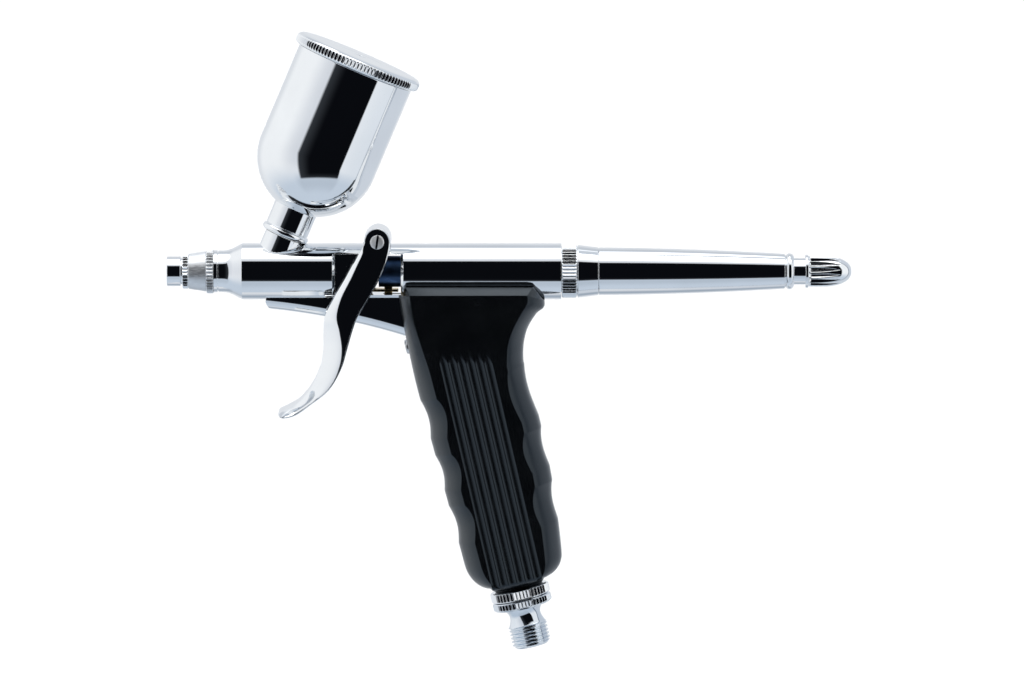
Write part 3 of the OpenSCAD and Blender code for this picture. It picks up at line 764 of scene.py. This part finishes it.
def grip_rows(end):
    """Rows from the shoulder down to the bottom, each with four (t, s) points and a half-width."""
    rows = []
    steps, spacing = 9, 0.55
    for i in range((len(SHOULDER) - 1) * steps):
        t = i / steps
        rows.append([spline([row[k] for row in SHOULDER], t) for k in range(4)] + [GRIP_HALF])
    start = SHOULDER[-1][0][1]
    stations = {start + spacing * i for i in range(int((end - start) / spacing))}
    for a, b in FRONT_SCOOPS + REAR_SCOOPS:
        stations |= {a + 0.01, b - 0.01}
    round_front, round_rear, round_side = 7.0, 4.6, 1.2
    stations = sorted(s for s in stations if s < end - round_front)
    stations += [end - round_front + round_front * math.sin(math.radians(a)) for a in range(0, 91, 6)]
    for s in stations:
        front, flat_front, flat_rear, rear = grip_edges(s)
        tuck = foot_rounding(s, end, round_front)
        lift = foot_rounding(s, end, round_rear)
        half = GRIP_HALF - 0.75 * foot_rounding(s, end, round_side)
        rows.append([(front + tuck * 0.75, s), (flat_front + tuck * 0.55, s),
                     (flat_rear - lift * 0.55, s), (rear - lift * 0.9, s), half])
    return rows


# Section between an edge and the flat side: share of the way in, and share of the half-width.
CHEEK = ((0, 0), (0, 0.13), (0.012, 0.24), (0.04, 0.33), (0.09, 0.415), (0.16, 0.5), (0.26, 0.585),
         (0.4, 0.69), (0.55, 0.785), (0.7, 0.87), (0.85, 0.94), (1, 1))


def rib_columns():
    """Places across the flat side where the ribs' grooves need points."""
    columns = []
    middle = 0.08
    for i in range(RIBS):
        at = middle + (i - (RIBS - 1) / 2) * RIB_PITCH
        columns += [(at + RIB_PITCH * d, d) for d in (-0.46, -0.36, -0.2, 0, 0.2, 0.36, 0.46)]
    return columns


def groove_depth(offset, t, s):
    """Depth of a rounded groove at a share of its pitch from the middle, running out at its top."""
    height = (GRIP @ (Vector((-t, 0, s)) * MM)).z / MM
    open_share = min(max((RIB_TOP - height) / 3.2, 0), 1)
    section = 1 - (abs(offset) / 0.46) ** 1.6
    return max(RIB_DEPTH * (section - (1 - open_share)), 0)


def grip_row_points(row):
    """Half of one row, front to rear, as (t, y, s)."""
    front, flat_front, flat_rear, rear, half = row
    points = []
    for share, wide in CHEEK:
        t = front[0] + (flat_front[0] - front[0]) * share
        s = front[1] + (flat_front[1] - front[1]) * share
        points.append((t, wide * half, s))
    for t, offset in rib_columns():
        u = (t - flat_front[0]) / (flat_rear[0] - flat_front[0])
        s = flat_front[1] + (flat_rear[1] - flat_front[1]) * u
        points.append((t, half - groove_depth(offset, t, s), s))
    for share, wide in reversed(CHEEK):
        t = rear[0] + (flat_rear[0] - rear[0]) * share
        s = rear[1] + (flat_rear[1] - rear[1]) * share
        points.append((t, wide * half, s))
    return points


def saddle_row(below, radius):
    """Top edge of the grip, where it meets the barrel: a row of (x, y, z) above the row below."""
    lip, front, rear, tip, nose = -3.3, 58.0, 91.5, 94.3, 1.6
    side = math.sqrt(radius ** 2 - lip ** 2)
    count = len(CHEEK)
    last = len(below) - 1
    points = []
    for k in range(last + 1):
        edge = min(k, last - k)
        wide = side * CHEEK[edge][1] if edge < count else side
        height = max(-math.sqrt(max(radius ** 2 - wide ** 2, 0)), -radius)
        if k < count:
            x = front + nose * CHEEK[k][0]
        elif last - k < count:
            x = rear + (tip - rear) * (lip - height) / (radius + lip)
        else:
            x = front + nose + (rear - front - nose) * (k - count + 1) / (last - 2 * count + 2)
        points.append((x, wide, height))
    return points


def ledge_row(rim, below):
    """Outer edge of the narrow ledge beside the barrel, above the sloping band."""
    shares = (0.1, 0.32, 0.05)  # of the way from the rim to the row below, along x, y and z
    return [tuple(a + share * (b - a) for a, b, share in zip(upper, lower, shares))
            for upper, lower in zip(rim, below)]


def grip():
    end = reach("grip", GRIP)[1]

    def world(t, y, s):
        p = GRIP @ (Vector((-t, y, s)) * MM) / MM
        return (p.x, y, p.z)

    half_rows = [[world(*p) for p in grip_row_points(row)] for row in grip_rows(end)]
    radius = 7.2  # of the trough that the barrel lies in
    rim = saddle_row(half_rows[0], radius)
    half_rows.insert(0, ledge_row(rim, half_rows[0]))
    half_rows.insert(0, rim)
    count = len(half_rows[0])
    vertices, faces = [], []
    for row in half_rows:
        vertices += row
        vertices += [(x, -y, z) for x, y, z in row]
    for i in range(len(half_rows) - 1):
        for side in (0, 1):
            a = (2 * i + side) * count
            b = (2 * (i + 1) + side) * count
            for k in range(count - 1):
                faces.append((a + k, a + k + 1, b + k + 1, b + k))
    close_across(rim, 14, lambda y, z: -math.sqrt(max(radius ** 2 - y ** 2, 0)), vertices, faces)
    close_across(half_rows[-1], 10, lambda y, z: z, vertices, faces)
    crease = 24
    obj = piece("pistol_grip", vertices, faces, "root", "grip_plastic", BLACK, ("grip",), None, crease)
    bar_notch(obj, crease)
    crease_scoops(obj.data)


def bar_notch(obj, crease):
    """Notch in the grip's front that the push bar's tongue moves into when the trigger is pulled."""
    front, tongue_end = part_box("grip")[0].x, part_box("air_push_bar")[0].z
    place = Vector((front + 1 * MM, 0, tongue_end + 2.5 * MM))
    cut_box(obj, place, (5, 2.5, 5.6), 0, crease)


def crease_scoops(mesh):
    """Creases the edges across the grip's cheeks where the finger scoops start and end."""
    back = GRIP.inverted()
    stations = [back @ v.co / MM for v in mesh.vertices]
    sides = ((-1, FRONT_SCOOPS), (1, REAR_SCOOPS))
    ends = [(s, side) for side, places in sides for pair in places for s in pair]
    near, cheek_from = 0.03, 8
    for edge in mesh.edges:
        a, b = (stations[k] for k in edge.vertices)
        for s, side in ends:
            if abs(a.z - s) < near and abs(b.z - s) < near and -a.x * side > cheek_from:
                edge.use_edge_sharp = True


def close_across(row, across, height, vertices, faces):
    """Closes the space between the grip's sides along a row. height(y, z) shapes the surface."""
    base = len(vertices)
    for x, y, z in row:
        for j in range(across + 1):
            wide = y * (1 - 2 * j / across)
            vertices.append((x, wide, height(wide, z)))
    for k in range(len(row) - 1):
        for j in range(across):
            a, b = base + k * (across + 1) + j, base + (k + 1) * (across + 1) + j
            faces.append((a, b, b + 1, a + 1))


def grip_collar():
    start, end, radius = reach("grip_collar", GRIP)
    foot, bore = 6.0, 5.1
    profile = [
        (start, bore, 0), (start, radius - 0.1, 0.1), (start + 0.25, radius, 0.15),
        (end - 0.15, foot + 0.1, 0.12), (end, foot - 0.1, 0.1), (end, bore, 0)]
    piece("collar", *lathe(profile, 128), "root", "grip_plastic", BLACK, ("grip_collar",), GRIP)


def grip_screw():
    middle = centre("grip_screw")
    along = line(middle, GRIP.to_3x3() @ Vector((-1, 0, 0)))
    along.translation = middle
    start, end, radius = reach("grip_screw", along)
    head, shank = start + 1.7, 1.0
    profile = [
        (start, 0.01, 0), (start, radius - 0.6, 0), (start + 0.15, radius - 0.15, 0),
        (start + 0.5, radius, 0), (head, radius, 0.1), (head, shank, 0), (end - 0.3, shank, 0),
        (end, shank - 0.3, 0), (end, 0.01, 0)]
    piece("grip_screw_head", *lathe(profile, 48, closed=False), "root", "steel", STEEL,
          ("grip_screw",), along)


# ---- Air fitting ----

def grip_lock_ring():
    start, end, radius = reach("grip_lock_ring", GRIP)
    bore = 5.05
    profile = [
        (start, bore, 0), (start, radius - 0.45, 0.15), (start + 0.3, radius, 0.15),
        (end - 0.35, radius, 0.15), (end, radius - 0.4, 0.15), (end, bore, 0)]
    teeth = 46
    shape = lathe(profile, teeth * len(TOOTH), cut=knurl(start + 0.3, end - 0.35, radius, teeth))
    piece("lock_ring", *shape, "root", "chromed_fitting", CHROME, ("grip_lock_ring",), GRIP)


def hose_joint():
    start, end, flange_r = reach("hose_joint", GRIP)
    dims = mount("air_inlet")["dims"]
    crest = dims["r_mm"]
    thread_end = end - 0.9
    thread = thread_end - dims["length_mm"]
    pitch, depth = 0.907, 0.6
    flange = reach("hose_washer", GRIP)[1] + 0.02
    flange_end, neck, bore, spigot = flange + 2.25, 3.9, 2.0, 3.4
    profile = [
        (start, bore, 0), (start, spigot, 0), (flange, spigot, 0), (flange, flange_r - 0.3, 0.1),
        (flange + 0.3, flange_r, 0.15), (flange_end - 0.55, flange_r, 0.2),
        (flange_end, flange_r - 0.75, 0.25), (flange_end, 5.0, 0.2)]
    neck_start, waist, neck_end = flange_end + 0.15, flange_end + 2.15, thread - 0.15
    steps = 10
    for i in range(steps + 1):
        u = i / steps
        r = neck + 0.85 * (1 - math.sin(u * math.pi / 2))
        profile.append((neck_start + u * (waist - neck_start), r, 0))
    for i in range(1, steps + 1):
        u = i / steps
        r = neck + 0.75 * (1 - math.cos(u * math.pi / 2))
        profile.append((waist + u * (neck_end - waist), r, 0))
    spacing = pitch / 10
    for i in range(int((end - thread) / spacing) + 1):
        s = thread + i * spacing
        chamfer = max(s - thread_end, 0) * 1.05
        profile.append((s, crest - chamfer, 0))
    profile += [(end, neck, 0), (end, bore + 0.35, 0.1), (end - 0.35, bore, 0)]
    teeth = 46
    sides = teeth * len(TOOTH)
    ring = knurl(flange + 0.25, flange_end - 0.5, flange_r, teeth)

    def cut(s, k):
        """Knurl on the flange, nothing on the neck, and a helical V thread that runs in softly."""
        if s < flange_end:
            return ring(s, k)
        if s < thread - 0.02:
            return None
        phase = ((s - thread) / pitch - k / sides) % 1
        valley = max(1 - abs(phase - 0.5) * 2.3, 0)
        run_in = min((s - thread) / 0.5, 1)
        return crest - depth * min(valley * 1.25, 1) * run_in
    shape = lathe(profile, sides, cut=cut)
    # The nipple gets the darker, bluer chrome copy, which paints shade onto it.
    piece("hose_nipple", *shape, "root", "chromed_fitting", SHADED_FITTING_CHROME, ("hose_joint",), GRIP, 40)


# ---- Mechanism ----

def chuck_nut():
    start, end, radius = reach("chuck_nut", BARREL)
    socket, bore, floor_at = 2.25, 0.65, start + 3.1
    profile = [
        (start, socket, 0), (start, radius - 0.2, 0.1), (start + 0.2, radius, 0.1),
        (end - 1.0, radius, 0.2), (end, 2.6, 0.1), (end, bore, 0), (floor_at, bore, 0),
        (floor_at, socket, 0)]
    teeth = 26
    shape = lathe(profile, teeth * len(TOOTH), cut=knurl(start + 0.1, end - 1.2, radius, teeth))
    piece("needle_chuck", *shape, "needle_drive", "steel", SATIN_CHROME, ("chuck_nut",), BARREL)


def o_ring():
    start, end, radius = reach("adjuster_o_ring", BARREL)
    wire = (end - start) / 2
    around = 20
    profile = arc(start + wire, radius - wire, wire, 0, 360 - 360 / around, around - 1)
    piece("drag_ring", *lathe(profile, 96), "adjuster", "rubber", RUBBER, ("adjuster_o_ring",), BARREL)


def needle():
    start, end, radius = reach("fluid_needle", BARREL)
    taper = 15.0
    profile = [(start, 0.012, 0)]
    steps = 16
    for i in range(1, steps + 1):
        u = i / steps
        profile.append((start + u * taper, 0.03 + (radius - 0.03) * u ** 0.85, 0))
    profile += [(end - 0.4, radius, 0), (end - 0.1, radius - 0.12, 0), (end, radius - 0.3, 0)]
    piece("spray_needle", *lathe(profile, 48, closed=False), "needle_drive", "steel", STEEL,
          ("fluid_needle",), BARREL)


# ---- CAD nodes that are shown as they are ----

FINISHES = {
    "main_body": CHROME, "fluid_nozzle": BRASS, "nozzle_seal": WHITE, "needle_packing": WHITE,
    "packing_screw": BRASS, "cup_seal": WHITE, "drive_sleeve": DARK_STEEL, "air_push_bar": BRASS,
    "spring_seat": BRASS, "needle_stop": STEEL, "valve_packing": WHITE, "valve_seat": BRASS,
    "valve_seal": RUBBER, "valve_stem": BRASS, "valve_plug": BRASS, "air_tube": STEEL,
    "hose_washer": WHITE}


def dress_frame():
    """Gives every CAD node that stays visible its procedural material."""
    for node, material in FINISHES.items():
        obj = frame["nodes"][node]
        obj.data.materials.clear()
        obj.data.materials.append(material)


# ---- Stage ----

def camera():
    """A long lens in front of the object and slightly above it; target and distance in metres."""
    low, high = cad_bounds
    target = (low + high) / 2 + Vector((0.7, 0, -0.12)) * MM
    distance, elevation = 1.85, math.radians(5.4)
    data = bpy.data.cameras.new("camera")
    data.sensor_width = 36
    data.lens = 260
    data.clip_end = 100
    eye = bpy.data.objects.new("camera", data)
    eye.location = target + distance * Vector((0, -math.cos(elevation), math.sin(elevation)))
    eye.rotation_euler = (math.pi / 2 - elevation, 0, 0)
    bpy.context.scene.collection.objects.link(eye)
    bpy.context.scene.camera = eye


def calculate(tree, operation, *values):
    """A Math node; values are sockets or numbers."""
    node = tree.nodes.new("ShaderNodeMath")
    node.operation = operation
    for i, value in enumerate(values):
        if isinstance(value, (int, float)):
            node.inputs[i].default_value = value
        else:
            tree.links.new(value, node.inputs[i])
    return node.outputs[0]


def step(tree, value, start, end):
    """0 before start and 1 after end, smooth between them."""
    node = tree.nodes.new("ShaderNodeMapRange")
    node.interpolation_type = "SMOOTHSTEP"
    node.inputs["From Min"].default_value = min(start, end)
    node.inputs["From Max"].default_value = max(start, end)
    node.inputs["To Min"].default_value = 0 if start < end else 1
    node.inputs["To Max"].default_value = 1 if start < end else 0
    tree.links.new(value, node.inputs["Value"])
    return node.outputs["Result"]


def card(tree, azimuth, elevation, sides, soft):
    """1 where a direction falls on a card: sides are left, right, low and high in degrees."""
    left, right, low, high = (math.radians(v) for v in sides)
    sl, sr, sv = (math.radians(v) for v in soft)
    mask = calculate(tree, "MULTIPLY", step(tree, azimuth, left - sl, left + sl),
                     step(tree, azimuth, right + sr, right - sr))
    tall = calculate(tree, "MULTIPLY", step(tree, elevation, low - sv, low + sv),
                     step(tree, elevation, high + sv, high - sv))
    return calculate(tree, "MULTIPLY", mask, tall)


def band(tree, angle, limits, soft):
    """1 where an angle lies between two limits in degrees."""
    low, high, s = (math.radians(v) for v in (*limits, soft))
    return calculate(tree, "MULTIPLY", step(tree, angle, low - s, low + s),
                     step(tree, angle, high + s, high - s))


def mix(tree, share, first, second):
    """first where share is 0 and second where it is 1; both are sockets or colours."""
    node = tree.nodes.new("ShaderNodeMix")
    node.data_type = "RGBA"
    tree.links.new(share, node.inputs["Factor"])
    for socket, value in ((node.inputs[6], first), (node.inputs[7], second)):
        if isinstance(value, tuple):
            socket.default_value = (*value, 1)
        else:
            tree.links.new(value, socket)
    return node.outputs[2]


def studio():
    """A pale tent with a black card in front of the object and grey cards and strips round it.
    Directions are angles: front and rear turn about the vertical, roll turns about the barrel."""
    world = bpy.data.worlds.new("studio")
    bpy.context.scene.world = world
    world.use_nodes = True
    tree = world.node_tree
    coords = tree.nodes.new("ShaderNodeTexCoord")
    parts = tree.nodes.new("ShaderNodeSeparateXYZ")
    tree.links.new(coords.outputs["Generated"], parts.inputs[0])
    x, y, z = parts.outputs
    front = calculate(tree, "ARCTAN2", x, calculate(tree, "MULTIPLY", y, -1.0))
    rear = calculate(tree, "ARCTAN2", x, y)
    roll = calculate(tree, "ARCTAN2", z, calculate(tree, "MULTIPLY", y, -1.0))
    elevation = calculate(tree, "ARCSINE", z)
    # The tent: darker towards the ground, grey round the card and at the back, bright on top.
    tent = mix(tree, step(tree, elevation, -0.85, -0.1), (0.58, 0.66, 0.76), (0.96, 0.98, 1.0))
    beside = card(tree, front, elevation, (-62, 20, -20, 60), (22, 6, 20))
    tent = mix(tree, beside, tent, (0.72, 0.75, 0.8))
    behind = band(tree, rear, (-40, 40), 16)
    tent = mix(tree, behind, tent, (0.76, 0.79, 0.83))
    tent = mix(tree, step(tree, elevation, 0.95, 1.15), tent, (2.5, 2.5, 2.5))
    # Grey strips above and below, which only parts that lie along the barrel reflect.
    level = step(tree, calculate(tree, "ABSOLUTE", x), 0.55, 0.3)
    overhead = calculate(tree, "MULTIPLY", band(tree, roll, (113, 141), 11), level)
    below = calculate(tree, "MULTIPLY", band(tree, roll, (-139, -110), 11), level)
    tent = mix(tree, overhead, tent, (0.6, 0.64, 0.7))
    tent = mix(tree, below, tent, (0.38, 0.44, 0.52))
    # A grey card on the right with a dark front edge, and a grey card under the black one.
    tent = mix(tree, band(tree, front, (94, 158), 4), tent, (0.64, 0.69, 0.76))
    tent = mix(tree, band(tree, front, (93, 101), 2.5), tent, (0.2, 0.25, 0.32))
    under = card(tree, front, elevation, (-46, 50, -62, -34), (10, 6, 13))
    tent = mix(tree, under, tent, (0.5, 0.57, 0.66))
    # The black card in front, a little lighter towards its left and lower edges.
    shade = card(tree, front, elevation, (-24, 48, -34, 52), (12, 1.5, 8))
    fabric = mix(tree, shade, (0.03, 0.034, 0.04), (0.003, 0.0035, 0.005))
    dark = card(tree, front, elevation, (-37, 47, -37, 47), (3, 1.2, 2.5))
    lit = mix(tree, dark, tent, fabric)
    rays = tree.nodes.new("ShaderNodeLightPath")
    seen = mix(tree, rays.outputs["Is Camera Ray"], lit, (1.0, 1.0, 1.0))
    tree.links.new(seen, tree.nodes["Background"].inputs["Color"])


def floor():
    """A wide pale floor well below the object."""
    low, _ = cad_bounds
    drop, half = 0.22, 30
    mesh = bpy.data.meshes.new("floor")
    z = low.z - drop
    corners = [(-half, -half, z), (half, -half, z), (half, half, z), (-half, half, z)]
    mesh.from_pydata(corners, [], [(0, 1, 2, 3)])
    obj = bpy.data.objects.new("floor", mesh)
    bpy.context.scene.collection.objects.link(obj)
    material, tree, bsdf = shader("pale_floor")
    bsdf.inputs["Roughness"].default_value = 0.9
    bsdf.inputs["Specular IOR Level"].default_value = 0
    tone = blend_colours(tree, noise(tree, 1.5), (0.95, 0.94, 0.92), (0.97, 0.96, 0.94))
    tree.links.new(tone, bsdf.inputs["Base Color"])
    mesh.materials.append(material)
    obj.visible_glossy = False


def soft_light():
    """A broad overhead sun that lifts the floor to white without showing in the metal."""
    data = bpy.data.lights.new("overhead", "SUN")
    data.angle = math.radians(70)
    data.energy = 0.3
    lamp = bpy.data.objects.new("overhead", data)
    lamp.rotation_euler = (math.radians(-14), math.radians(-18), 0)
    lamp.visible_glossy = False
    bpy.context.scene.collection.objects.link(lamp)


# ---- Build ----

camera()
studio()
floor()
soft_light()
bpy.context.scene.view_settings.view_transform = "Standard"
bpy.context.scene.view_settings.look = "None"

dress_frame()
for build in (needle_cap, nozzle_cap, cup, cup_lid, rear_sleeve, handle, adjuster_knob, trigger,
              pivot_screw, springs, grip, grip_collar, grip_screw, grip_lock_ring, hose_joint,
              chuck_nut, o_ring, needle):
    build()
